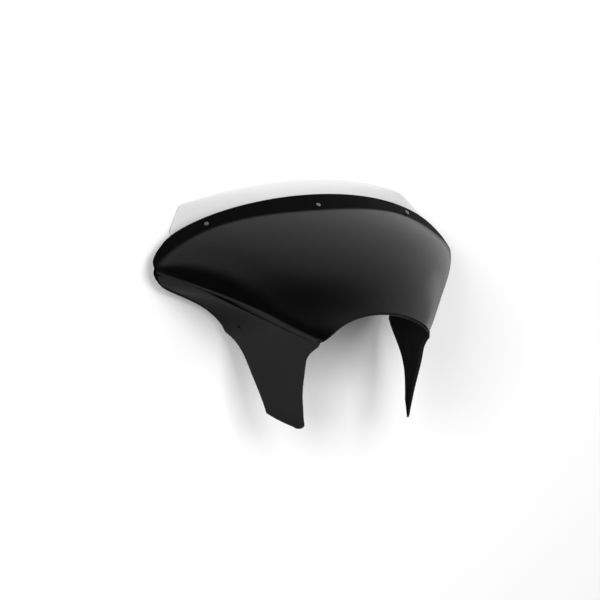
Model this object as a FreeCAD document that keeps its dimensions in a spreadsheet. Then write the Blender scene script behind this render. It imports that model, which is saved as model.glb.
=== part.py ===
import FreeCAD, Part
import math
import os

V = FreeCAD.Vector

# Driving dimensions in millimetres and degrees: alias, value, meaning.
# Frame: X to the right, -Y to the front, Z up; the two leg holes lie on the X axis.
DIMENSIONS = [
    ("wall", 4, "thickness of the formed shell"),
    ("half_width", 331, "centre plane to a wing tip"),
    ("crown_rise", 126, "height of the upper edge above the wing tips"),
    ("tip_y", 62, "depth of the wing tips behind the leg holes"),
    ("tip_z", 128, "height of the wing tips above the leg holes"),
    ("tip_radius", 50, "rounding of the wing tips in the front view"),
    ("tip_angle", 60, "angle over which the wing tips are rounded"),
    ("tip_reach", 6, "cowl skin beyond the wing tips, before trimming"),
    ("tip_wall", 7, "solid end of each wing tip"),
    ("crest_y", 70, "cowl profile, upper end"),
    ("crest_z", 272, "cowl profile, upper end"),
    ("brow_y", -50, "cowl profile, below the screen seat"),
    ("brow_z", 223, "cowl profile, below the screen seat"),
    ("cheek_y", -182, "cowl profile, half way down"),
    ("cheek_z", 134, "cowl profile, half way down"),
    ("nose_y", -250, "cowl profile, above the headlight arch"),
    ("nose_z", 0, "cowl profile, above the headlight arch"),
    ("rim_y", -312, "cowl profile, foremost"),
    ("rim_z", -52, "cowl profile, foremost"),
    ("chin_y", -300, "cowl profile, where it curls under"),
    ("chin_z", -92, "cowl profile, where it curls under"),
    ("keel_y", -240, "cowl profile, underside"),
    ("keel_z", -70, "cowl profile, underside"),
    ("heel_y", 70, "cowl profile, lower end"),
    ("heel_z", 98, "cowl profile, lower end"),
    ("upper_run", 15, "beyond the wing tips, where the upper profile runs out"),
    ("upper_ratio", -0.36, "hollowness of the upper profile towards the tips"),
    ("nose_run", 12, "beyond the wing tips, where the nose runs out"),
    ("nose_ratio", -0.2, "hollowness of the nose towards the tips"),
    ("rim_run", 21, "beyond the wing tips, where the rim runs out"),
    ("rim_ratio", 0.55, "hollowness of the rim towards the tips"),
    ("lower_run", 34, "beyond the wing tips, where the underside runs out"),
    ("lower_ratio", 1, "hollowness of the underside towards the tips"),
    ("screen_slope", 47, "lean of the screen and its seat"),
    ("seat_radius", 520, "bend radius of the screen seat"),
    ("screw_y", -30, "middle screen screw on the outer face"),
    ("screw_z", 230, "middle screen screw on the outer face"),
    ("side_screw_x", 224, "centre plane to an outer screen screw"),
    ("side_screw_rise", 16, "outer screen screws, up the seat from the middle one"),
    ("seat_drop", 20, "seat below the middle screw"),
    ("seat_rise", 80, "seat above the middle screw"),
    ("skirt_rear_y", 60, "rear section of the skirt"),
    ("skirt_front_y", -232, "front section of the skirt"),
    ("skirt_lift", 8, "skirt above the cowl's lower edge at the wing tips"),
    ("skirt_sink", 22, "skirt below the cowl's lower edge at the front"),
    ("wing_z", 112, "skirt section, upper end"),
    ("wing_rear_x", 352, "skirt section, upper end"),
    ("wing_front_x", 48, "skirt section, upper end"),
    ("flare_z", 72, "skirt section, under the wing"),
    ("flare_rear_x", 282, "skirt section, under the wing"),
    ("flare_front_x", 92, "skirt section, under the wing"),
    ("hollow_z", 36, "skirt section, hollow between wing and leg"),
    ("hollow_rear_x", 220, "skirt section, hollow between wing and leg"),
    ("hollow_front_x", 128, "skirt section, hollow between wing and leg"),
    ("knee_z", -15, "skirt section, top of the leg"),
    ("knee_rear_x", 186, "skirt section, top of the leg"),
    ("knee_front_x", 123.5, "skirt section, top of the leg"),
    ("calf_z", -80, "skirt section, middle of the leg"),
    ("calf_rear_x", 194, "skirt section, middle of the leg"),
    ("calf_front_x", 116, "skirt section, middle of the leg"),
    ("shin_z", -150, "skirt section, lower leg"),
    ("shin_rear_x", 200, "skirt section, lower leg"),
    ("shin_front_x", 92.5, "skirt section, lower leg"),
    ("foot_z", -235, "skirt section, below the toes"),
    ("foot_rear_x", 196, "skirt section, below the toes"),
    ("foot_front_x", 60.5, "skirt section, below the toes"),
    ("rear_edge_y", 55, "rear edge of the wings"),
    ("leg_top_z", -8, "upper end of the legs' rear edge"),
    ("leg_mid_y", -14, "middle of the legs' rear edge"),
    ("leg_mid_z", -77, "middle of the legs' rear edge"),
    ("leg_low_y", -48, "lower end of the legs' rear edge"),
    ("leg_low_z", -172, "lower end of the legs' rear edge"),
    ("sole_y", -76, "middle of the toes' lower edge"),
    ("sole_z", -187.5, "middle of the toes' lower edge"),
    ("toe_y", -106, "front of the toes' lower edge"),
    ("toe_z", -200.5, "front of the toes' lower edge"),
    ("toe_tip_y", -121, "lowest point of the toes' rounding"),
    ("toe_tip_z", -204, "lowest point of the toes' rounding"),
    ("instep_y", -132, "front end of the toes' rounding"),
    ("instep_z", -189, "front end of the toes' rounding"),
    ("ankle_y", -150, "above the toes, in front of the legs"),
    ("ankle_z", -150, "above the toes, in front of the legs"),
    ("arch_half_width", 127, "headlight arch, half its width"),
    ("arch_spring_z", -75, "headlight arch, height of its widest point"),
    ("arch_top_z", 8, "headlight arch, top at the centre plane"),
    ("toe_half_gap", 112, "headlight arch, half the gap between the toes"),
    ("leg_hole", 6.5, "bore of the leg holes"),
    ("screen_thick", 3, "thickness of the screen"),
    ("screen_top_z", 287, "screen, top at the centre plane"),
    ("screen_corner_x", 252, "screen, upper corners before rounding"),
    ("screen_corner_z", 251, "screen, upper corners before rounding"),
    ("screen_end_x", 297, "screen, lower corners before rounding"),
    ("screen_end_z", 178, "screen, lower corners before rounding"),
    ("screen_foot_z", 205, "screen, lower edge at the centre plane"),
    ("screen_corner_radius", 25, "rounding of the screen's upper corners"),
    ("screen_end_radius", 12, "rounding of the screen's lower corners"),
    ("screen_hole", 6.5, "screw holes in the screen"),
    ("shell_hole", 5.5, "screw holes in the shell"),
    ("spacer_thick", 2, "rubber spacers between shell and screen"),
    ("spacer_diameter", 14, "rubber spacers, outside"),
    ("spacer_bore", 5.2, "rubber spacers, bore"),
    ("shank_diameter", 5, "screen screws, thread"),
    ("shank_length", 17, "screen screws, length under the head"),
    ("head_diameter", 9.5, "screen screws, head"),
    ("head_height", 2.8, "screen screws, head"),
    ("head_round", 1.8, "screen screws, rounding of the head"),
    ("head_room", 10.5, "clear space around each screw head on the seat"),
    ("head_gap", 0.05, "start of that space above the seat"),
    ("socket_flats", 3, "screen screws, hexagon socket"),
    ("socket_depth", 1.6, "screen screws, hexagon socket"),
    ("washer_gap", 0.03, "washer to the screen's hollow face"),
    ("washer_diameter", 10, "nut washers, outside"),
    ("washer_bore", 5.3, "nut washers, bore"),
    ("washer_thick", 1, "nut washers, thickness"),
    ("nut_flats", 8, "lock nuts, across flats"),
    ("nut_height", 5, "lock nuts, height"),
    ("nut_bore", 5.04, "lock nuts, bore over the thread"),
]

# Cowl profile from the upper end round the rim to the lower end: pole, and how it runs out to the tips
PROFILE = [("crest", "upper"), ("brow", "upper"), ("cheek", "upper"), ("nose", "nose"),
           ("rim", "rim"), ("chin", "lower"), ("keel", "lower"), ("heel", "lower")]
# Poles across the span: place, and the shares of its square and fourth power
ACROSS = [(-1, 1, 1), (-0.5, 0, -1), (0, -1 / 3, 1), (0.5, 0, -1), (1, 1, 1)]
# Skirt section from the wing down to the toes
STATIONS = ["wing", "flare", "hollow", "knee", "calf", "shin", "foot"]


def make_sheet():
    """Write the driving dimensions into a spreadsheet and return it."""
    page = doc.addObject("Spreadsheet::Sheet", "Sheet")
    for row, (alias, value, meaning) in enumerate(DIMENSIONS, start=1):
        page.set("A%d" % row, meaning)
        page.set("B%d" % row, str(value))
        page.setAlias("B%d" % row, alias)
    doc.recompute()
    return page


doc = FreeCAD.newDocument("windshield")
sheet = make_sheet()
size = {alias: float(sheet.get(alias)) for alias, _, _ in DIMENSIONS}
far = 2 * size["half_width"]
slope = math.radians(size["screen_slope"])
ALONG = V(0, math.cos(slope), math.sin(slope))
INWARD = V(0, math.sin(slope), -math.cos(slope))


def mitred(points, depth):
    """A profile in a plane of constant x, moved inward so that each of its runs moves by depth."""
    sides = []
    for first, second in zip(points, points[1:]):
        side = V(0, first.z - second.z, second.y - first.y)
        side.normalize()
        sides.append(side)
    moved = []
    for point, before, after in zip(points, sides[:1] + sides, sides + sides[-1:]):
        moved.append(point + (before + after) * (depth / (1 + before.dot(after))))
    return moved


def cowl_profile(x, depth):
    """Poles of the cowl's profile in the plane at x, depth behind the outer face."""
    points = []
    for pole, group in PROFILE:
        share = (x / (size["half_width"] + size[group + "_run"])) ** 2
        scale = (1 - share) * (1 - size[group + "_ratio"] * share)
        points.append(V(x, size["tip_y"] + scale * (size[pole + "_y"] - size["tip_y"]),
                        size["tip_z"] + scale * (size[pole + "_z"] - size["tip_z"])))
    return mitred(points, depth * (1 + 0.9 * (x / size["half_width"]) ** 2))


def cowl_solid(depth):
    """Cowl as a lens: its skin, depth behind the outer face, closed by a ruled back and flat ends."""
    reach = size["half_width"] + size["tip_reach"]
    if depth:
        reach -= size["tip_reach"] + size["tip_wall"]
    flank = 0.6
    stations = [cowl_profile(x, depth) for x in (0, flank * reach, reach)]
    poles = []
    for place, square, fourth in ACROSS:
        column = []
        for middle, between, end in zip(*stations):
            bend4 = ((end - middle) * flank ** 2 - (between - middle)) * (1 / (flank ** 2 - flank ** 4))
            bend2 = end - middle - bend4
            point = middle + bend2 * square + bend4 * fourth
            column.append(V(place * reach, point.y, point.z))
        poles.append(column)
    knots = list(range(len(PROFILE) - 2))
    mults = [4] + [1] * (len(PROFILE) - 4) + [4]
    skin = Part.BSplineSurface()
    skin.buildFromPolesMultsKnots(poles, [5, 5], mults, [0, 1], knots, False, False, 4, 3)
    u0, u1, v0, v1 = skin.bounds()
    faces = [skin.toShape(), Part.makeRuledSurface(skin.vIso(v0).toShape(), skin.vIso(v1).toShape())]
    for u in (u0, u1):
        closing = Part.makeLine(skin.value(u, v0), skin.value(u, v1))
        faces.append(Part.Face(Part.Wire([skin.uIso(u).toShape(), closing])))
    sewn = Part.Shape(Part.makeShell(faces))
    sewn.sewShape()
    return Part.makeSolid(Part.Shell(sewn.Faces))


def seat_solid(depth):
    """The round body whose front is the screen seat, depth behind the outer face."""
    screw = V(0, size["screw_y"], size["screw_z"])
    base = screw + INWARD * size["seat_radius"] - ALONG * (size["seat_drop"] + depth)
    length = size["seat_drop"] + size["seat_rise"] + 2 * depth
    return Part.makeCylinder(size["seat_radius"] - depth, length, base, ALONG)


def skirt_section(end, y, depth):
    """Closed section of the skirt in a plane of constant y."""
    outer = Part.BSplineCurve()
    outer.interpolate([V(size["%s_%s_x" % (name, end)], y, size[name + "_z"]) for name in STATIONS])
    right = []
    for name in STATIONS:
        point = V(size["%s_%s_x" % (name, end)], y, size[name + "_z"])
        tangent = outer.tangent(outer.parameter(point))[0]
        normal = V(tangent.z, 0, -tangent.x)
        if normal.x > 0:
            normal = normal.negative()
        right.append(point + normal * depth)
    edges = []
    corners = []
    for side in (1, -1):
        flank = [V(side * point.x, y, point.z) for point in right]
        curve = Part.BSplineCurve()
        curve.interpolate(flank)
        corners.append((V(flank[0].x, y, size["tip_z"] + size["skirt_lift"] + depth), flank[-1]))
        edges.append(curve.toShape())
        edges.append(Part.makeLine(corners[-1][0], flank[0]))
    edges += [Part.makeLine(first, second) for first, second in zip(*corners)]
    return Part.Wire(Part.__sortEdges__(edges))


def skirt_solid(depth):
    """Undersides of the wings and the legs as one tapering body, ending inside the cowl's lower edge."""
    body = Part.makeLoft([skirt_section("rear", size["skirt_rear_y"], depth),
                          skirt_section("front", size["skirt_front_y"], depth)], True, True)
    half = size["half_width"] - size["tip_wall"] if depth else far
    tip = V(-half, size["tip_y"], size["tip_z"] + size["skirt_lift"] + depth)
    rim = V(-half, size["rim_y"], size["rim_z"] - size["skirt_sink"] + depth)
    rear = tip + (tip - rim)
    front = rim + (rim - tip)
    low = V(0, 0, -2 * far)
    below = Part.Face(Part.makePolygon([rear, front, front + low, rear + low, rear]))
    return body.common(below.extrude(V(2 * half, 0, 0)))


def front_prism(edges):
    """Prism through the whole depth over an outline drawn in the front view."""
    wire = Part.Wire(Part.__sortEdges__(edges))
    return Part.Face(wire).extrude(V(0, 2 * far, 0))


def half_ellipse(half_width, rise, z):
    """Upper half of an ellipse in the front view."""
    arc = Part.ArcOfEllipse(Part.Ellipse(V(0, 0, 0), half_width, rise), 0, math.pi).toShape()
    arc.rotate(V(0, 0, 0), V(1, 0, 0), 90)
    arc.translate(V(0, -far, z))
    return arc


def outline_prism():
    """Front view of the shell: half an ellipse above the rounded wing tips, open below."""
    radius = size["tip_radius"]

    def on_tip(side, degrees):
        turn = math.radians(degrees)
        return V(side * (size["half_width"] - radius + radius * math.cos(turn)), -far,
                 size["tip_z"] - radius * math.sin(turn))

    edges = [half_ellipse(size["half_width"], size["crown_rise"], size["tip_z"])]
    feet = []
    for side in (1, -1):
        end = on_tip(side, size["tip_angle"])
        edges.append(Part.Arc(on_tip(side, 0), on_tip(side, size["tip_angle"] / 2), end).toShape())
        feet.append(V(end.x, -far, -far))
        edges.append(Part.makeLine(end, feet[-1]))
    edges.append(Part.makeLine(*feet))
    return front_prism(edges)


def arch_prism():
    """Headlight arch in the front view: a half ellipse on two arcs that lean in to the toes."""
    inset = size["arch_half_width"] - size["toe_half_gap"]
    drop = size["arch_spring_z"] - size["toe_tip_z"]
    radius = (inset ** 2 + drop ** 2) / (2 * inset)

    def on_leg(side, fall):
        sweep = math.asin(fall / radius)
        return V(side * (size["arch_half_width"] - radius * (1 - math.cos(sweep))), -far,
                 size["arch_spring_z"] - fall)

    edges = [half_ellipse(size["arch_half_width"], size["arch_top_z"] - size["arch_spring_z"],
                          size["arch_spring_z"])]
    for side in (1, -1):
        edges.append(Part.Arc(on_leg(side, 0), on_leg(side, drop / 2), on_leg(side, 1.2 * drop)).toShape())
    edges.append(Part.makeLine(on_leg(1, 1.2 * drop), on_leg(-1, 1.2 * drop)))
    return front_prism(edges)


def side_prism():
    """Side view: the rear edges of wings and legs, and the toes."""
    upper = V(-far, size["rear_edge_y"], far)
    knee = V(-far, size["rear_edge_y"], size["leg_top_z"])
    calf, heel, sole, toe, tip, instep, ankle = [
        V(-far, size[name + "_y"], size[name + "_z"])
        for name in ("leg_mid", "leg_low", "sole", "toe", "toe_tip", "instep", "ankle")]
    front = V(-far, -far, size["ankle_z"])
    over = V(-far, -far, far)
    wire = Part.Wire([Part.makeLine(upper, knee), Part.Arc(knee, calf, heel).toShape(),
                      Part.Arc(heel, sole, toe).toShape(), Part.Arc(toe, tip, instep).toShape(),
                      Part.makeLine(instep, ankle), Part.makeLine(ankle, front),
                      Part.makeLine(front, over), Part.makeLine(over, upper)])
    return Part.Face(wire).extrude(V(2 * far, 0, 0))


def screw_places():
    """Placements on the seat's outer face, Z pointing out along each screw."""
    places = []
    for x, rise in ((0, 0), (size["side_screw_x"], size["side_screw_rise"]),
                    (-size["side_screw_x"], size["side_screw_rise"])):
        turn = math.asin(x / size["seat_radius"])
        sag = size["seat_radius"] * (1 - math.cos(turn))
        spot = V(x, size["screw_y"], size["screw_z"]) + ALONG * rise + INWARD * sag
        normal = V(math.sin(turn), 0, 0) - INWARD * math.cos(turn)
        places.append(FreeCAD.Placement(spot, FreeCAD.Rotation(ALONG, V(), normal, "ZXY")))
    return places


def bound(kind, name, **formulas):
    """Add a document object whose properties follow the sheet."""
    item = doc.addObject(kind, name)
    for prop, formula in formulas.items():
        item.setExpression(prop, formula)
    return item


def stacked(item, place, start):
    """Put an item on a screw's axis, start being its height above the seat's outer face."""
    item.Placement = place.multiply(FreeCAD.Placement(V(0, 0, start), FreeCAD.Rotation()))
    return item


def ring(name, place, start, outside, bore, height):
    """Washer from two cylinders."""
    body = stacked(bound("Part::Cylinder", name + "_disc", Radius=outside + " / 2", Height=height), place, start)
    hole = stacked(bound("Part::Cylinder", name + "_bore", Radius=bore + " / 2", Height=height), place, start)
    cut = doc.addObject("Part::Cut", name)
    cut.Base = body
    cut.Tool = hole
    return cut


def screw(name, place):
    """Button head screw with a hexagon socket."""
    head = stacked(bound("Part::Cylinder", name + "_head", Radius="Sheet.head_diameter / 2",
                         Height="Sheet.head_height"), place, 0)
    doc.recompute()
    dome = doc.addObject("Part::Fillet", name + "_dome")
    dome.Base = head
    rim = [i for i, edge in enumerate(head.Shape.Edges, start=1)
           if edge.Closed and (edge.CenterOfMass - place.Base).Length > size["head_height"] / 2]
    dome.Edges = [(i, size["head_round"], size["head_round"]) for i in rim]
    shank = stacked(bound("Part::Cylinder", name + "_shank", Radius="Sheet.shank_diameter / 2",
                          Height="Sheet.shank_length"), place, -size["shank_length"])
    whole = doc.addObject("Part::MultiFuse", name + "_whole")
    whole.Shapes = [dome, shank]
    socket = stacked(bound("Part::Prism", name + "_socket", Circumradius="Sheet.socket_flats / sqrt(3)",
                           Height="Sheet.socket_depth"), place, size["head_height"] - size["socket_depth"])
    cut = doc.addObject("Part::Cut", name)
    cut.Base = whole
    cut.Tool = socket
    return cut


def nut(name, place, start):
    """Hexagon nut."""
    body = stacked(bound("Part::Prism", name + "_hexagon", Circumradius="Sheet.nut_flats / sqrt(3)",
                         Height="Sheet.nut_height"), place, start)
    hole = stacked(bound("Part::Cylinder", name + "_bore", Radius="Sheet.nut_bore / 2",
                         Height="Sheet.nut_height"), place, start)
    cut = doc.addObject("Part::Cut", name)
    cut.Base = body
    cut.Tool = hole
    return cut


def seat_sheet(name, outer_depth, thickness):
    """Cylindrical sheet parallel to the seat, bound to the sheet's sizes."""
    shells = []
    base = V(0, size["screw_y"], size["screw_z"]) + INWARD * size["seat_radius"] - ALONG * size["seat_rise"]
    lean = FreeCAD.Placement(base, FreeCAD.Rotation(V(1, 0, 0), size["screen_slope"] - 90))
    for part, inset in (("_outer", outer_depth), ("_inner", outer_depth + " - " + thickness)):
        rod = bound("Part::Cylinder", name + part, Radius=inset, Height="3 * Sheet.seat_rise")
        rod.Placement = lean
        shells.append(rod)
    cut = doc.addObject("Part::Cut", name)
    cut.Base, cut.Tool = shells
    return cut


def screen_outline():
    """Front view of the screen: curved upper and lower edges, slanting ends, rounded corners."""
    top = V(0, -far, size["screen_top_z"])
    foot = V(0, -far, size["screen_foot_z"])
    corner = [V(side * size["screen_corner_x"], -far, size["screen_corner_z"]) for side in (-1, 1)]
    end = [V(side * size["screen_end_x"], -far, size["screen_end_z"]) for side in (-1, 1)]
    prism = front_prism([Part.Arc(corner[0], top, corner[1]).toShape(), Part.makeLine(corner[1], end[1]),
                         Part.Arc(end[1], foot, end[0]).toShape(), Part.makeLine(end[0], corner[0])])
    for x, radius in (("screen_corner_x", "screen_corner_radius"), ("screen_end_x", "screen_end_radius")):
        edges = [edge for edge in prism.Edges if edge.BoundBox.YLength > far
                 and abs(abs(edge.CenterOfMass.x) - size[x]) < 0.01]
        prism = prism.makeFillet(size[radius], edges)
    return prism


def shell_shape():
    """The formed shell: trimmed outer volume, hollowed by the same volumes a wall further in, then drilled."""
    outer = cowl_solid(0).fuse([seat_solid(0), skirt_solid(0)])
    shape = outer.common(outline_prism()).common(side_prism()).cut(arch_prism())
    for hollow in (cowl_solid, seat_solid, skirt_solid):
        shape = shape.cut(hollow(size["wall"]))
    leg_drill = Part.makeCylinder(size["leg_hole"] / 2, 2 * far, V(-far, 0, 0), V(1, 0, 0))
    return shape.cut([leg_drill] + drills("shell_hole", -size["shank_length"]) + drills("head_room", size["head_gap"]))


def drills(bore, start):
    """Drills along the screws, from start outward, the seat's outer face being zero."""
    return [Part.makeCylinder(size[bore] / 2, 2 * size["shank_length"], place.multVec(V(0, 0, start)),
                              place.Rotation.multVec(V(0, 0, 1))) for place in screw_places()]


shell = doc.addObject("Part::Feature", "Shell")
shell.Shape = shell_shape()
shell.Placement = FreeCAD.Placement()
shell.Label = "fairing_shell"

outline = doc.addObject("Part::Feature", "ScreenOutline")
outline.Shape = screen_outline().cut(drills("screen_hole", -size["shank_length"]))
outline.Placement = FreeCAD.Placement()
pane = doc.addObject("Part::MultiCommon", "Windscreen")
pane.Shapes = [seat_sheet("Pane", "Sheet.seat_radius - Sheet.wall - Sheet.spacer_thick", "Sheet.screen_thick"),
               outline]
pane.Label = "windscreen"

gap = seat_sheet("Gap", "Sheet.seat_radius - Sheet.wall", "Sheet.spacer_thick")
washer_top = -(size["wall"] + size["spacer_thick"] + size["screen_thick"] + size["washer_gap"])
nut_top = washer_top - size["washer_thick"]
groups = {"screen_screws": [], "screen_spacers": [], "nut_washers": [], "lock_nuts": []}
for number, place in enumerate(screw_places(), start=1):
    groups["screen_screws"].append(screw("Screw%d" % number, place))
    blank = ring("SpacerBlank%d" % number, place, -size["shank_length"], "Sheet.spacer_diameter",
                 "Sheet.spacer_bore", "Sheet.shank_length")
    spacer = doc.addObject("Part::MultiCommon", "Spacer%d" % number)
    spacer.Shapes = [blank, gap]
    groups["screen_spacers"].append(spacer)
    groups["nut_washers"].append(ring("Washer%d" % number, place, nut_top, "Sheet.washer_diameter",
                                      "Sheet.washer_bore", "Sheet.washer_thick"))
    groups["lock_nuts"].append(nut("Nut%d" % number, place, nut_top - size["nut_height"]))

nodes = [shell, pane]
for label, members in groups.items():
    group = doc.addObject("Part::Compound", label.title().replace("_", ""))
    group.Links = members
    group.Label = label
    nodes.append(group)
doc.recompute()

for item in doc.Objects:
    if "Invalid" in item.State or "Error" in item.State:
        raise RuntimeError("failed: " + item.Label)
for node in nodes:
    if node.Shape.isNull() or not node.Shape.isValid():
        raise RuntimeError("bad shape: " + node.Label)

os.makedirs("parts", exist_ok=True)
for node in nodes:
    node.Shape.exportStep("parts/%s.step" % node.Label)
    print(node.Label, len(node.Shape.Solids), "solids", round(node.Shape.Volume), "cubic millimetres")
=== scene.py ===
"""Motorcycle windshield: a gloss black shell with rolled lips, and a clear screen on three screws."""
import logging
import math
from dataclasses import dataclass
from enum import Enum

import bmesh
import bpy
from mathutils import Matrix, Vector


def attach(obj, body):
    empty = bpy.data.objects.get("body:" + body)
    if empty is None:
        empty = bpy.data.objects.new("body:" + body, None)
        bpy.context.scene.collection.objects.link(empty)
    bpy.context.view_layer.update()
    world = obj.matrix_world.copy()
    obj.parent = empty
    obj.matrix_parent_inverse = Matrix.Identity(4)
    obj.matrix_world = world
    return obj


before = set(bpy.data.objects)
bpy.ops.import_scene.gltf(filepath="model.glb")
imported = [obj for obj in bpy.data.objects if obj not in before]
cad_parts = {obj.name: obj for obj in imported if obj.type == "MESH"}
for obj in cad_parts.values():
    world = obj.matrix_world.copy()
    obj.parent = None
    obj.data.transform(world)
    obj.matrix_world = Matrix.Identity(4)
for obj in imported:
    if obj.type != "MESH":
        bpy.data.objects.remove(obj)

LOG = logging.getLogger("windshield")
Pair = tuple[float, float]
Triple = tuple[float, float, float]
Stops = tuple[Pair, ...]
Socket = bpy.types.NodeSocket

# Probing rays start this far from the object's middle, in metres.
FAR = 1.0


class Node(Enum):
    """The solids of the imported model."""

    SHELL = "fairing_shell"
    SCREEN = "windscreen"
    SCREWS = "screen_screws"
    SPACERS = "screen_spacers"
    WASHERS = "nut_washers"
    NUTS = "lock_nuts"


def node_object(node: Node) -> bpy.types.Object:
    """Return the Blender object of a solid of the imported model."""
    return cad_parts[node.value]


def dress(piece: bpy.types.Object, material: bpy.types.Material) -> None:
    """Put one material on a whole piece."""
    piece.data.materials.clear()
    piece.data.materials.append(material)


class ShaderGraph:
    """A short way to add nodes and links to a material, a world or a node group."""

    def __init__(self, tree: bpy.types.NodeTree) -> None:
        """Keep the node tree that the calls work on."""
        self.tree = tree

    def add(self, kind: str, inputs: dict | None = None, **settings: object) -> bpy.types.Node:
        """Add a node.

        Args:
            kind: The node's type name.
            inputs: Socket name or number to a plain value or to an output socket that feeds it.
            settings: Attributes of the node.

        Returns:
            The new node.
        """
        node = self.tree.nodes.new(kind)
        for name, value in settings.items():
            setattr(node, name, value)
        for key, value in (inputs or {}).items():
            if isinstance(value, Socket):
                self.tree.links.new(value, node.inputs[key])
            else:
                node.inputs[key].default_value = value
        return node

    def place(self) -> Socket:
        """Return the shaded point in object coordinates."""
        return self.add("ShaderNodeTexCoord").outputs["Object"]

    def math(self, operation: str, first: float | Socket, second: float | Socket = 0.0) -> Socket:
        """Return what a Math node makes of one or two values."""
        return self.add("ShaderNodeMath", {0: first, 1: second}, operation=operation).outputs[0]

    def minus(self, first: Socket, second: Triple) -> Socket:
        """Return the difference of two vectors."""
        node = self.add("ShaderNodeVectorMath", {0: first, 1: second}, operation="SUBTRACT")
        return node.outputs["Vector"]

    def dot(self, first: Socket, second: Triple | Socket) -> Socket:
        """Return the dot product of two vectors."""
        node = self.add("ShaderNodeVectorMath", {0: first, 1: second}, operation="DOT_PRODUCT")
        return node.outputs["Value"]

    def span(self, value: Socket, source: Pair, target: Pair = (0.0, 1.0), curve: str = "LINEAR") -> Socket:
        """Map a value from one range to another.

        Args:
            value: The socket that is mapped.
            source: The range that it comes from.
            target: The range that it goes to.
            curve: The way from one end to the other.

        Returns:
            The mapped value, held within the target.
        """
        node = self.add("ShaderNodeMapRange", {
            "Value": value, "From Min": source[0], "From Max": source[1],
            "To Min": target[0], "To Max": target[1]}, interpolation_type=curve)
        return node.outputs["Result"]

    def blend(self, mask: Socket, first: Triple | Socket, second: Triple) -> Socket:
        """Blend two colours by a mask.

        Args:
            mask: 0 for the first colour and 1 for the second.
            first: The first colour.
            second: The second colour.

        Returns:
            The blended colour.
        """
        start = first if isinstance(first, Socket) else (*first, 1)
        node = self.add("ShaderNodeMix", {"Factor": mask, "A": start, "B": (*second, 1)}, data_type="RGBA")
        return node.outputs["Result"]

    def ramp(self, value: Socket, stops: Stops) -> Socket:
        """Map a value through grey stops.

        Args:
            value: The socket that is mapped.
            stops: Position and grey level of each stop, in order.

        Returns:
            The ramp's colour.
        """
        node = self.add("ShaderNodeValToRGB", {"Fac": value})
        elements = node.color_ramp.elements
        while len(elements) < len(stops):
            elements.new(0.5)
        for element, (position, level) in zip(elements, stops):
            element.position = position
            element.color = (level, level, level, 1)
        return node.outputs["Color"]

    def bump(self, height: Socket, strength: float, depth: float, normal: Socket | None = None) -> Socket:
        """Turn a height into a fine relief.

        Args:
            height: The height over the surface.
            strength: The relief's strength.
            depth: Its depth in metres.
            normal: The normal that it starts from, where that isn't the surface's own.

        Returns:
            The new normal.
        """
        inputs = {"Height": height, "Strength": strength, "Distance": depth}
        if normal is not None:
            inputs["Normal"] = normal
        return self.add("ShaderNodeBump", inputs).outputs["Normal"]

    def surface(self, shader: bpy.types.Node, output: str = "ShaderNodeOutputMaterial") -> None:
        """Link a shader to a new output node."""
        self.add(output, {"Surface": shader.outputs[0]})


def new_material(name: str) -> tuple[bpy.types.Material, ShaderGraph]:
    """Make an empty node material.

    Args:
        name: The material's name.

    Returns:
        The material and its graph.
    """
    material = bpy.data.materials.new(name)
    material.use_nodes = True
    material.node_tree.nodes.clear()
    return material, ShaderGraph(material.node_tree)


@dataclass(frozen=True)
class HazeLayer:
    """One noise of the haze: its output, the input for its scale, and how fine and how rough it is."""

    output: str
    scale: str
    detail: float
    roughness: float


class SurfaceHaze:
    """Node group for a handled surface: a soft patchy mask, a fine grain and a slow waviness."""

    LAYERS = (HazeLayer("Patches", "Patch Scale", 5.0, 0.6), HazeLayer("Grain", "Grain Scale", 3.0, 0.7),
              HazeLayer("Waves", "Wave Scale", 1.0, 0.4))

    def __init__(self) -> None:
        """Build the group once."""
        self.group = bpy.data.node_groups.new("surface_haze", "ShaderNodeTree")
        for layer in self.LAYERS:
            self.group.interface.new_socket(layer.scale, in_out="INPUT", socket_type="NodeSocketFloat")
            self.group.interface.new_socket(layer.output, in_out="OUTPUT", socket_type="NodeSocketFloat")
        graph = ShaderGraph(self.group)
        scales = graph.add("NodeGroupInput").outputs
        place = graph.place()
        results = {}
        for layer in self.LAYERS:
            noise = graph.add("ShaderNodeTexNoise", {
                "Vector": place, "Scale": scales[layer.scale],
                "Detail": layer.detail, "Roughness": layer.roughness})
            results[layer.output] = noise.outputs["Fac"]
        graph.add("NodeGroupOutput", results)

    def apply(self, graph: ShaderGraph, scales: Triple) -> dict[str, Socket]:
        """Put the group in a material.

        Args:
            graph: The material's graph.
            scales: Scales of the patches, the grain and the waves, per metre.

        Returns:
            The outputs Patches, Grain and Waves.
        """
        inputs = {layer.scale: scale for layer, scale in zip(self.LAYERS, scales)}
        node = graph.add("ShaderNodeGroup", inputs, node_tree=self.group)
        return {layer.output: node.outputs[layer.output] for layer in self.LAYERS}


class FaceSide:
    """Node group that tells the shell's outer face from its hollow side."""

    # A point behind the shell, away from which its outer face looks.
    CORE: Triple = (0.0, 0.15, 0.15)

    def __init__(self) -> None:
        """Build the group once."""
        self.group = bpy.data.node_groups.new("face_side", "ShaderNodeTree")
        self.group.interface.new_socket("Hollow", in_out="OUTPUT", socket_type="NodeSocketFloat")
        graph = ShaderGraph(self.group)
        away = graph.minus(graph.place(), self.CORE)
        lean = graph.dot(away, graph.add("ShaderNodeNewGeometry").outputs["Normal"])
        graph.add("NodeGroupOutput", {"Hollow": graph.math("LESS_THAN", lean, 0.0)})

    def apply(self, graph: ShaderGraph) -> Socket:
        """Put the group in a material and return its mask."""
        return graph.add("ShaderNodeGroup", node_tree=self.group).outputs["Hollow"]


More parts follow.
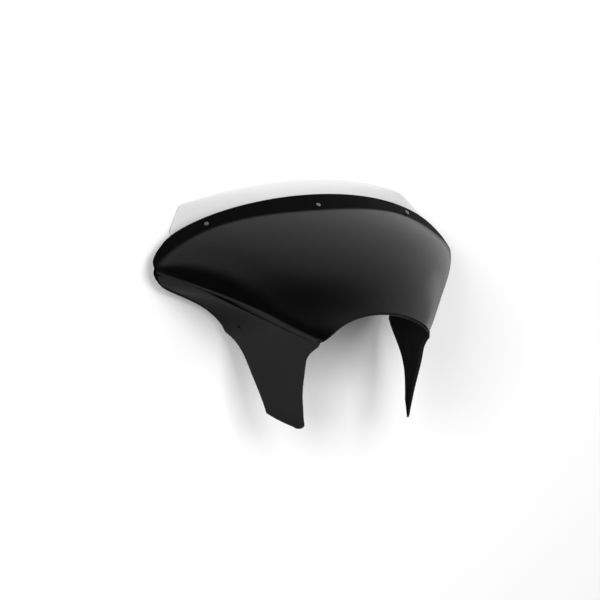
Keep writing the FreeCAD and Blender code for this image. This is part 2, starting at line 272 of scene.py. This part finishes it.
@dataclass(frozen=True)
class SeatBand:
    """Mask of the band that carries the screen, found from the round seat that it lies on.

    Attributes:
        centre: A point on the seat's axis.
        slope: The axis's slope in degrees.
        radius: The seat's radius.
        slack: How far inside the radius the mask begins.
        fade: How far outside the radius it ends.
        foot: The two places along the axis between which it comes in, measured from the centre.
    """

    centre: Triple = (0.0, 0.35030, -0.12464)
    slope: float = 47.0
    radius: float = 0.52
    slack: float = 0.0008
    fade: float = 0.004
    foot: Pair = (-0.045, -0.03)

    def mask(self, graph: ShaderGraph) -> Socket:
        """Add the nodes that find the band.

        Args:
            graph: The material's graph.

        Returns:
            The mask, 1 on the band.
        """
        run = math.cos(math.radians(self.slope))
        rise = math.sin(math.radians(self.slope))
        away = graph.minus(graph.place(), self.centre)
        across = graph.add("ShaderNodeSeparateXYZ", {0: away}).outputs["X"]
        flat = graph.add("ShaderNodeCombineXYZ", {"X": across, "Y": graph.dot(away, (0.0, rise, -run))})
        reach = graph.add("ShaderNodeVectorMath", {0: flat.outputs[0]}, operation="LENGTH").outputs["Value"]
        on_seat = graph.span(reach, (self.radius, self.radius + self.fade), (1.0, 0.0), "SMOOTHSTEP")
        outside = graph.math("GREATER_THAN", reach, self.radius - self.slack)
        above = graph.span(graph.dot(away, (0.0, run, rise)), self.foot)
        return graph.math("MULTIPLY", graph.math("MULTIPLY", on_seat, outside), above)


@dataclass(frozen=True)
class GlossPlastic:
    """Black sheet plastic with a gloss coat in front, dull on its seat band and its grained back.

    Attributes:
        name: The material's name.
        colour: The front's colour.
        worn: The front's colour where it is handled.
        back: The hollow side's colour.
        haze_scales: Scales of the patches, the grain and the waves, per metre.
        haze_limits: Where in the patches the roughness starts and stops rising.
        roughness: The base's roughness, from clean to hazy.
        refraction: The refractive index of base and coat.
        base_specular: The dull base's own gloss.
        coat_roughness: The gloss coat's roughness.
        back_bare: The share of the coat that the hollow side lacks.
        edge_radius: The radius that softens the edges.
        edge_samples: How often each softened edge is probed.
        relief: Strength of the waves and of the hollow side's grain.
        relief_depth: Their depth in metres.
        band: The band without a coat.
    """

    name: str = "gloss_black_sheet"
    colour: Triple = (0.0012, 0.0012, 0.0013)
    worn: Triple = (0.0028, 0.0028, 0.0029)
    back: Triple = (0.016, 0.016, 0.0162)
    haze_scales: Triple = (14.0, 1500.0, 18.0)
    haze_limits: Pair = (0.3, 0.75)
    roughness: Pair = (0.42, 0.56)
    refraction: float = 1.5
    base_specular: float = 0.05
    coat_roughness: float = 0.1
    back_bare: float = 0.6
    edge_radius: float = 0.0025
    edge_samples: int = 6
    relief: float = 0.05
    relief_depth: float = 0.001
    band: SeatBand = SeatBand()

    def material(self, haze: SurfaceHaze, side: FaceSide) -> bpy.types.Material:
        """Make the finish.

        Args:
            haze: The group of patches, grain and waves.
            side: The group that finds the hollow side.

        Returns:
            The new material.
        """
        material, graph = new_material(self.name)
        marks = haze.apply(graph, self.haze_scales)
        hollow = side.apply(graph)
        front = graph.blend(marks["Patches"], self.colour, self.worn)
        inside = graph.math("MULTIPLY", hollow, self.back_bare)
        bare = graph.math("MAXIMUM", inside, self.band.mask(graph))
        grain = graph.math("MULTIPLY", marks["Grain"], hollow)
        height = graph.math("ADD", marks["Waves"], grain)
        edge = graph.add("ShaderNodeBevel", {"Radius": self.edge_radius}, samples=self.edge_samples)
        graph.surface(graph.add("ShaderNodeBsdfPrincipled", {
            "Base Color": graph.blend(hollow, front, self.back),
            "Roughness": graph.span(marks["Patches"], self.haze_limits, self.roughness),
            "Normal": graph.bump(height, self.relief, self.relief_depth, edge.outputs["Normal"]),
            "IOR": self.refraction, "Specular IOR Level": self.base_specular,
            "Coat Weight": graph.math("SUBTRACT", 1.0, bare),
            "Coat Roughness": self.coat_roughness, "Coat IOR": self.refraction}))
        return material


@dataclass(frozen=True)
class ClearAcrylic:
    """Clear acrylic sheet with a light smoky tint, painted shade that darkens it towards its ends, and faint
    rubbing marks.

    Attributes:
        name: The material's name.
        colour: The tint in the middle.
        ends: The darker tint at both ends, painted shade.
        shade: What it lets through to shadow and diffuse rays.
        end_shade_reach: Distance from the middle at which the painted shade starts and stops growing.
        haze_scales: Scales of the patches, the grain and the waves, per metre.
        haze_limits: Where in the patches the roughness starts and stops rising.
        roughness: The roughness, from polished to rubbed.
        refraction: The refractive index.
    """

    name: str = "clear_acrylic"
    colour: Triple = (0.955, 0.955, 0.953)
    # Painted shade: the tint darkens from the middle towards both ends.
    ends: Triple = (0.88, 0.88, 0.878)
    shade: Triple = (0.88, 0.88, 0.88)
    end_shade_reach: Pair = (0.08, 0.27)
    haze_scales: Triple = (25.0, 1200.0, 30.0)
    haze_limits: Pair = (0.3, 0.8)
    roughness: Pair = (0.01, 0.06)
    refraction: float = 1.49

    def material(self, haze: SurfaceHaze) -> bpy.types.Material:
        """Make the finish, which shadow and diffuse rays pass straight through.

        Args:
            haze: The group of patches, grain and waves.

        Returns:
            The new material.
        """
        material, graph = new_material(self.name)
        marks = haze.apply(graph, self.haze_scales)
        across = graph.add("ShaderNodeSeparateXYZ", {0: graph.place()}).outputs["X"]
        # Painted shade: the tint darkens towards both ends of the screen.
        painted_end_shade = graph.span(graph.math("ABSOLUTE", across), self.end_shade_reach)
        sheet = graph.add("ShaderNodeBsdfPrincipled", {
            "Base Color": graph.blend(painted_end_shade, self.colour, self.ends),
            "Roughness": graph.span(marks["Patches"], self.haze_limits, self.roughness),
            "Transmission Weight": 1.0, "IOR": self.refraction})
        clear = graph.add("ShaderNodeBsdfTransparent", {"Color": (*self.shade, 1)})
        path = graph.add("ShaderNodeLightPath").outputs
        straight = graph.math("MAXIMUM", path["Is Shadow Ray"], path["Is Diffuse Ray"])
        graph.surface(graph.add("ShaderNodeMixShader", {
            0: straight, 1: sheet.outputs[0], 2: clear.outputs[0]}))
        return material


@dataclass(frozen=True)
class ZincSteel:
    """Zinc plated steel with fine turning grain and dull patches."""

    name: str = "zinc_steel"
    bright: Triple = (0.62, 0.62, 0.63)
    dull: Triple = (0.42, 0.42, 0.43)
    haze_scales: Triple = (420.0, 5200.0, 800.0)
    haze_limits: Pair = (0.0, 1.0)
    roughness: Pair = (0.22, 0.46)
    relief: float = 0.15
    relief_depth: float = 0.0002

    def material(self, haze: SurfaceHaze) -> bpy.types.Material:
        """Make the finish.

        Args:
            haze: The group of patches, grain and waves.

        Returns:
            The new material.
        """
        material, graph = new_material(self.name)
        marks = haze.apply(graph, self.haze_scales)
        graph.surface(graph.add("ShaderNodeBsdfPrincipled", {
            "Base Color": graph.blend(marks["Patches"], self.bright, self.dull),
            "Roughness": graph.span(marks["Patches"], self.haze_limits, self.roughness),
            "Normal": graph.bump(marks["Grain"], self.relief, self.relief_depth),
            "Metallic": 1.0}))
        return material


@dataclass(frozen=True)
class BlackRubber:
    """Matt moulded rubber with a fine grain."""

    name: str = "black_rubber"
    colour: Triple = (0.018, 0.018, 0.018)
    bloom: Triple = (0.04, 0.04, 0.039)
    haze_scales: Triple = (260.0, 3800.0, 500.0)
    roughness: float = 0.72
    relief: float = 0.3
    relief_depth: float = 0.0003

    def material(self, haze: SurfaceHaze) -> bpy.types.Material:
        """Make the finish.

        Args:
            haze: The group of patches, grain and waves.

        Returns:
            The new material.
        """
        material, graph = new_material(self.name)
        marks = haze.apply(graph, self.haze_scales)
        graph.surface(graph.add("ShaderNodeBsdfPrincipled", {
            "Base Color": graph.blend(marks["Patches"], self.colour, self.bloom),
            "Roughness": self.roughness,
            "Normal": graph.bump(marks["Grain"], self.relief, self.relief_depth)}))
        return material


@dataclass
class RolledLip:
    """Round lip along an edge of the shell, with slim ends.

    Attributes:
        name: The piece's name.
        radius: The lip's radius.
        stations: Number of points along it.
        probe: Distance from the shell's edge at which rays find the shell's face.
        sides: Number of its sides.
        taper: Number of stations over which each end grows to the full radius.
        slim_end: The share of the radius that each end starts with.
    """

    name: str
    radius: float
    stations: int
    probe: float
    sides: int = 14
    taper: int = 6
    slim_end: float = 0.3

    def sweep(self, shape: bmesh.types.BMesh, points: list[Vector]) -> None:
        """Sweep the lip along a line.

        Args:
            shape: The mesh that it is added to.
            points: The line.
        """
        rings = []
        last = len(points) - 1
        for number, point in enumerate(points):
            way = points[min(number + 1, last)] - points[max(number - 1, 0)]
            from_end = min(number, last - number)
            slim = min(1.0, self.slim_end + (1.0 - self.slim_end) * from_end / self.taper)
            ring = bmesh.ops.create_circle(
                shape, cap_ends=from_end == 0, segments=self.sides, radius=self.radius * slim,
                matrix=Matrix.Translation(point) @ way.to_track_quat("Z", "Y").to_matrix().to_4x4())
            rings.append({edge for vert in ring["verts"] for edge in vert.link_edges})
        for ring, following in zip(rings, rings[1:]):
            bmesh.ops.bridge_loops(shape, edges=list(ring | following))

    def piece(self, shape: bmesh.types.BMesh, material: bpy.types.Material) -> bpy.types.Object:
        """Turn a shape into a piece of the shell.

        Args:
            shape: The mesh, which is freed.
            material: The shell's own material.

        Returns:
            The new piece.
        """
        bmesh.ops.recalc_face_normals(shape, faces=shape.faces)
        for face in shape.faces:
            # The sides have four corners and are smooth, and the caps of the ends are flat.
            face.smooth = len(face.verts) == 4
        mesh = bpy.data.meshes.new(self.name)
        shape.to_mesh(mesh)
        shape.free()
        piece = bpy.data.objects.new(self.name, mesh)
        bpy.context.scene.collection.objects.link(piece)
        dress(piece, material)
        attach(piece, "root")
        return piece


@dataclass
class ArchLip(RolledLip):
    """Rolled lip along the top of the headlight arch, part of an ellipse in the front view.

    Attributes:
        half_width: The ellipse's half width.
        spring: Height of its centre.
        top: Height of its top.
        first_angle: Angle at which the lip starts on the right and, mirrored, ends on the left, in degrees.
        overhang: How far the lip's centre stands in the arch's opening.
    """

    name: str = "arch_lip"
    radius: float = 0.0032
    stations: int = 58
    probe: float = 0.002
    half_width: float = 0.127
    spring: float = -0.075
    top: float = 0.008
    first_angle: float = 27.0
    overhang: float = 0.0012

    def centres(self, shell: bpy.types.Object) -> list[Vector]:
        """Find the lip's centre line, from the right of the arch to its left.

        Args:
            shell: The shell, whose face gives the depth of each point.

        Returns:
            One point for each station.
        """
        points = []
        rise = self.top - self.spring
        sweep = 180.0 - 2 * self.first_angle
        for number in range(self.stations):
            turn = math.radians(self.first_angle + sweep * number / (self.stations - 1))
            edge = Vector((self.half_width * math.cos(turn), 0.0, self.spring + rise * math.sin(turn)))
            outward = Vector((math.cos(turn) / self.half_width, 0.0, math.sin(turn) / rise)).normalized()
            start = edge + outward * self.probe
            start.y = -FAR
            found, hit, _, _ = shell.ray_cast(start, Vector((0.0, 1.0, 0.0)))
            if found:
                centre = edge - outward * self.overhang
                centre.y = hit.y + self.radius
                points.append(centre)
        return points

    def build(self, shell: bpy.types.Object, material: bpy.types.Material) -> bpy.types.Object:
        """Sweep the lip along the arch.

        Args:
            shell: The shell that it belongs to.
            material: The shell's own material.

        Returns:
            The new piece.
        """
        shape = bmesh.new()
        self.sweep(shape, self.centres(shell))
        return self.piece(shape, material)


@dataclass
class WingLips(RolledLip):
    """Rolled lips along the rear edges of both wings.

    Attributes:
        rear: Depth of the wings' rear edges.
        high: Height at which each lip starts.
        low: Height at which it ends.
        proud: How far it stands out from the shell's face.
    """

    name: str = "wing_lips"
    radius: float = 0.0028
    stations: int = 46
    probe: float = 0.0015
    rear: float = 0.055
    high: float = 0.098
    low: float = 0.0
    proud: float = 0.0009

    def centres(self, shell: bpy.types.Object, side: int) -> list[Vector]:
        """Find one lip's centre line, from the wing down to the leg.

        Args:
            shell: The shell, whose face gives the breadth of each point.
            side: 1 for the right wing, -1 for the left one.

        Returns:
            One point for each station.
        """
        points = []
        inset = self.radius - self.proud
        for number in range(self.stations):
            height = self.high + (self.low - self.high) * number / (self.stations - 1)
            start = Vector((side * FAR, self.rear - self.probe, height))
            found, hit, _, _ = shell.ray_cast(start, Vector((-side, 0, 0)))
            if found:
                points.append(Vector((hit.x - side * inset, self.rear - self.radius, height)))
        return points

    def build(self, shell: bpy.types.Object, material: bpy.types.Material) -> bpy.types.Object:
        """Sweep both lips as one piece.

        Args:
            shell: The shell that they belong to.
            material: The shell's own material.

        Returns:
            The new piece.
        """
        shape = bmesh.new()
        for side in (1, -1):
            self.sweep(shape, self.centres(shell, side))
        return self.piece(shape, material)


@dataclass
class FairingShell:
    """The black formed shell with the lips of its arch and wings."""

    finish: GlossPlastic = GlossPlastic()

    def build(self, haze: SurfaceHaze) -> list[bpy.types.Object]:
        """Dress the shell and add its lips.

        Args:
            haze: The group of patches, grain and waves.

        Returns:
            The shell and its lips.
        """
        shell = node_object(Node.SHELL)
        material = self.finish.material(haze, FaceSide())
        dress(shell, material)
        return [shell, ArchLip().build(shell, material), WingLips().build(shell, material)]


@dataclass
class Windscreen:
    """The low clear screen behind the shell's upper edge."""

    finish: ClearAcrylic = ClearAcrylic()

    def build(self, haze: SurfaceHaze) -> bpy.types.Object:
        """Dress the screen.

        Args:
            haze: The group of patches, grain and waves.

        Returns:
            The screen.
        """
        screen = node_object(Node.SCREEN)
        dress(screen, self.finish.material(haze))
        return screen


@dataclass
class ScreenFixings:
    """Screws, spacers, washers and lock nuts that hold the screen."""

    steel: ZincSteel = ZincSteel()
    rubber: BlackRubber = BlackRubber()

    def build(self, haze: SurfaceHaze) -> list[bpy.types.Object]:
        """Dress the fixings.

        Args:
            haze: The group of patches, grain and waves.

        Returns:
            The screws, spacers, washers and nuts.
        """
        steel = self.steel.material(haze)
        rubber = self.rubber.material(haze)
        finishes = {Node.SCREWS: steel, Node.SPACERS: rubber, Node.WASHERS: steel, Node.NUTS: steel}
        for node, material in finishes.items():
            dress(node_object(node), material)
        return [node_object(node) for node in finishes]


@dataclass
class PhotoCamera:
    """Camera in front and to the left of the object, level with it and slightly rolled.

    Attributes:
        aim: The point in the middle of the picture.
        yaw: Its turn to the left, in degrees.
        roll: Its turn about the line of sight, in degrees.
        distance: Its distance from the aim.
        lens: Focal length in millimetres.
        sensor: Width of the sensor in millimetres.
    """

    aim: Triple = (-0.04612, -0.00849, 0.04397)
    yaw: float = 25.0
    roll: float = 4.42
    distance: float = 4.0
    lens: float = 120.0
    sensor: float = 36.0

    def build(self) -> bpy.types.Object:
        """Create the camera and make it the scene's own.

        Returns:
            The camera.
        """
        data = bpy.data.cameras.new("photo_camera")
        data.lens = self.lens
        data.sensor_width = self.sensor
        camera = bpy.data.objects.new("photo_camera", data)
        swing = Matrix.Rotation(math.radians(-self.yaw), 4, "Z")
        level = Matrix.Rotation(math.pi / 2, 4, "X")
        tilt = Matrix.Rotation(math.radians(-self.roll), 4, "Z")
        back_off = Matrix.Translation((0.0, 0.0, self.distance))
        camera.matrix_world = Matrix.Translation(self.aim) @ swing @ level @ tilt @ back_off
        bpy.context.scene.collection.objects.link(camera)
        bpy.context.scene.camera = camera
        return camera


def stage_object(name: str, shape: bmesh.types.BMesh, material: bpy.types.Material) -> bpy.types.Object:
    """Turn a shape into a stage object.

    Args:
        name: The object's name.
        shape: Its mesh, which is freed.
        material: Its material.

    Returns:
        The new object.
    """
    mesh = bpy.data.meshes.new(name)
    shape.to_mesh(mesh)
    shape.free()
    mesh.materials.append(material)
    item = bpy.data.objects.new(name, mesh)
    bpy.context.scene.collection.objects.link(item)
    return item


@dataclass
class PaleSheet:
    """Upright pale sheet close behind the object, in place of a floor."""

    name: str = "pale_sheet"
    behind: float = 0.0925
    side: float = 1.6
    colour: Triple = (0.95, 0.95, 0.95)

    def material(self) -> bpy.types.Material:
        """Make the sheet's material, which is clear from behind.

        Returns:
            The new material.
        """
        material, graph = new_material(self.name)
        matt = graph.add("ShaderNodeBsdfDiffuse", {"Color": (*self.colour, 1)})
        clear = graph.add("ShaderNodeBsdfTransparent")
        turned = graph.add("ShaderNodeNewGeometry").outputs["Backfacing"]
        graph.surface(graph.add("ShaderNodeMixShader", {0: turned, 1: matt.outputs[0], 2: clear.outputs[0]}))
        return material

    def build(self) -> None:
        """Stand the sheet up, unseen in reflections."""
        shape = bmesh.new()
        upright = Matrix.Translation((0, self.behind, 0)) @ Matrix.Rotation(math.pi / 2, 4, "X")
        bmesh.ops.create_grid(shape, x_segments=1, y_segments=1, size=self.side / 2, matrix=upright)
        stage_object(self.name, shape, self.material()).visible_glossy = False


@dataclass
class DimRoom:
    """Glowing sphere around everything that only reflections see.

    Attributes:
        name: The name of the sphere and its material.
        radius: The sphere's radius.
        meridians: Number of its segments around.
        rings: Number of its segments from pole to pole.
        strength: Strength of the glow at a side level of 1.
        back_to_front: Stops of the glow's tone.
        left_to_right: Stops of the side level.
        corner_across: Between these two places across, the dark corner on the left comes in.
        corner_depth: Between these two places in depth, it comes in as well.
        corner_tone: The dark corner's tone.
    """

    name: str = "dim_room"
    radius: float = 6.0
    meridians: int = 48
    rings: int = 24
    strength: float = 3.0
    back_to_front: Stops = (
        (0.05, 0.0), (0.135, 0.2), (0.165, 0.36), (0.3, 0.42), (0.5, 0.45),
        (0.655, 0.34), (0.74, 0.12), (0.79, 0.03), (0.88, 0.18), (0.96, 0.3))
    left_to_right: Stops = (
        (0.0, 0.25), (0.2, 0.267), (0.345, 0.23), (0.5, 0.317),
        (0.71, 0.367), (0.875, 0.45), (0.95, 0.53), (0.985, 1.0))
    corner_across: Pair = (-0.55, -0.85)
    corner_depth: Pair = (0.4, 0.1)
    corner_tone: Triple = (0.005, 0.005, 0.005)

    def material(self) -> bpy.types.Material:
        """Make the room's glow from the direction of each point.

        Returns:
            The new material.
        """
        material, graph = new_material(self.name)
        way = graph.add("ShaderNodeVectorMath", {0: graph.place()}, operation="NORMALIZE").outputs["Vector"]
        parts = graph.add("ShaderNodeSeparateXYZ", {0: way}).outputs
        tone = graph.ramp(graph.span(parts["Y"], (1.0, -1.0)), self.back_to_front)
        sides = graph.ramp(graph.span(parts["X"], (-1.0, 1.0)), self.left_to_right)
        left = graph.span(parts["X"], self.corner_across, curve="SMOOTHSTEP")
        near = graph.span(parts["Y"], self.corner_depth, curve="SMOOTHSTEP")
        corner = graph.math("MULTIPLY", left, near)
        graph.surface(graph.add("ShaderNodeEmission", {
            "Color": graph.blend(corner, tone, self.corner_tone),
            "Strength": graph.math("MULTIPLY", sides, self.strength)}))
        return material

    def build(self) -> None:
        """Hang the room around everything, for reflections only."""
        shape = bmesh.new()
        bmesh.ops.create_uvsphere(
            shape, u_segments=self.meridians, v_segments=self.rings, radius=self.radius)
        room = stage_object(self.name, shape, self.material())
        room.visible_camera = False
        room.visible_diffuse = False
        room.visible_transmission = False
        room.visible_volume_scatter = False
        room.visible_shadow = False


@dataclass
class WhiteSurround:
    """World that is white to the camera, reflections and glass, and lights the rest softly."""

    name: str = "white_surround"
    white: Triple = (1.0, 1.0, 1.0)
    soft_strength: float = 0.34

    def build(self) -> None:
        """Make it the scene's world."""
        world = bpy.data.worlds.new(self.name)
        bpy.context.scene.world = world
        world.use_nodes = True
        world.node_tree.nodes.clear()
        graph = ShaderGraph(world.node_tree)
        path = graph.add("ShaderNodeLightPath").outputs
        seen = graph.math("MAXIMUM", path["Is Camera Ray"], path["Is Glossy Ray"])
        seen = graph.math("MAXIMUM", seen, path["Is Transmission Ray"])
        soft = graph.add("ShaderNodeBackground", {"Color": (*self.white, 1), "Strength": self.soft_strength})
        full = graph.add("ShaderNodeBackground", {"Color": (*self.white, 1), "Strength": 1.0})
        mix = graph.add("ShaderNodeMixShader", {0: seen, 1: soft.outputs[0], 2: full.outputs[0]})
        graph.surface(mix, "ShaderNodeOutputWorld")


@dataclass(frozen=True)
class Lamp:
    """Soft square lamp that faces the object and isn't seen in reflections. Its power is in watts."""

    name: str
    place: Triple
    power: float
    side: float = 1.4

    def build(self) -> None:
        """Add the lamp to the scene."""
        data = bpy.data.lights.new(self.name, "AREA")
        data.size = self.side
        data.energy = self.power
        lamp = bpy.data.objects.new(self.name, data)
        lamp.location = self.place
        lamp.rotation_euler = Vector(self.place).to_track_quat("Z", "Y").to_euler()
        bpy.context.scene.collection.objects.link(lamp)
        lamp.visible_glossy = False


@dataclass
class Studio:
    """Pale sheet behind the object, a dim room for reflections, a white surround and four soft lamps."""

    lamps: tuple[Lamp, ...] = (
        Lamp("left_lamp", (-2.2, -2.4, 0.5), 42.0), Lamp("right_lamp", (2.0, -2.6, 0.5), 14.0),
        Lamp("front_lamp", (-0.2, -3.4, 0.62), 64.0), Lamp("back_lamp", (1.0, 3.2, 1.0), 130.0))

    def build(self) -> None:
        """Set up sheet, room, surround and lamps."""
        for item in (PaleSheet(), DimRoom(), WhiteSurround(), *self.lamps):
            item.build()
        bpy.context.scene.view_settings.view_transform = "Standard"


def main() -> None:
    """Build the studio and every piece, and log the number of faces of each piece."""
    logging.basicConfig(level=logging.INFO, format="%(name)s %(message)s")
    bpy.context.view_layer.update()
    PhotoCamera().build()
    Studio().build()
    haze = SurfaceHaze()
    pieces = [*FairingShell().build(haze), Windscreen().build(haze), *ScreenFixings().build(haze)]
    for piece in pieces:
        LOG.info("%s: %d faces", piece.name, len(piece.data.polygons))


if __name__ == "__main__":
    main()
